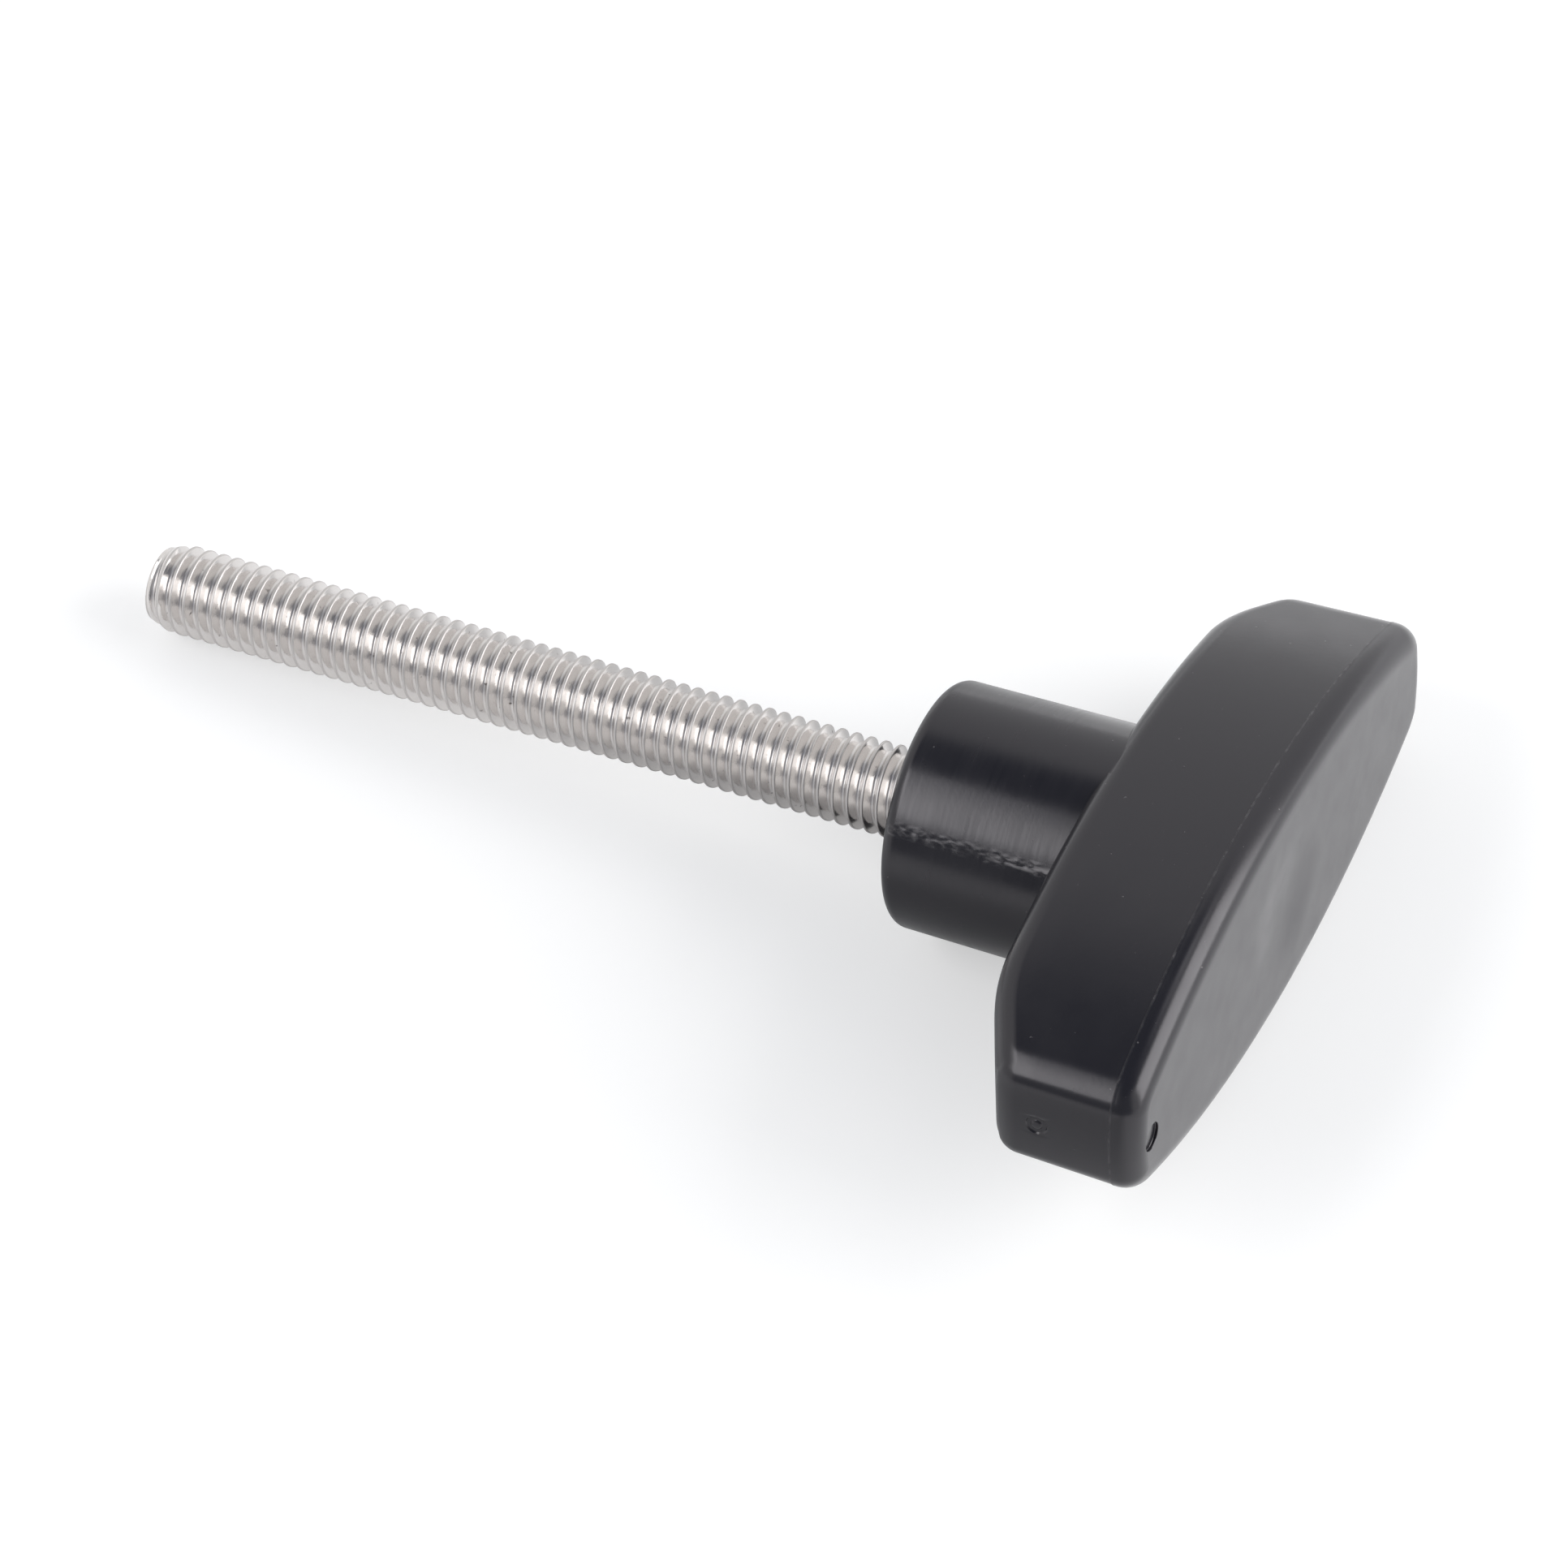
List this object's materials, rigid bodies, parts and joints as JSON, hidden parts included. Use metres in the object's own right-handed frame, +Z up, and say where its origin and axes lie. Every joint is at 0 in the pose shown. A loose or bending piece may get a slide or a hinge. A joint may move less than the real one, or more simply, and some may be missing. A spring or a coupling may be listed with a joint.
{
  "type": "handle fixing bolt",
  "caption": "Hand-tightened bolt: a black plastic T-handle with a round boss, moulded around a threaded steel screw.",
  "frame": {"origin": "middle of the bounding box in X and Y, on the surface that the bolt lies on", "axes": "+Z up from that surface, +X towards the handle's outer face, +Y along the bar of the handle, whose +Y end is the lower one; the screw points to -X and dips 5.3 degrees until its tip touches the surface, and the bolt is rolled 10.2 degrees about it until one side of the bar touches too"},
  "size_m": [0.0788, 0.0468, 0.0192],
  "materials": {
    "black_plastic": "semi-gloss moulded black plastic with a fine parting line",
    "polished_steel": "bright rolled thread, slightly warm"
  },
  "bodies": {
    "root": {"t_handle": "black_plastic", "threaded_screw": "polished_steel"}
  },
  "joints": []
}
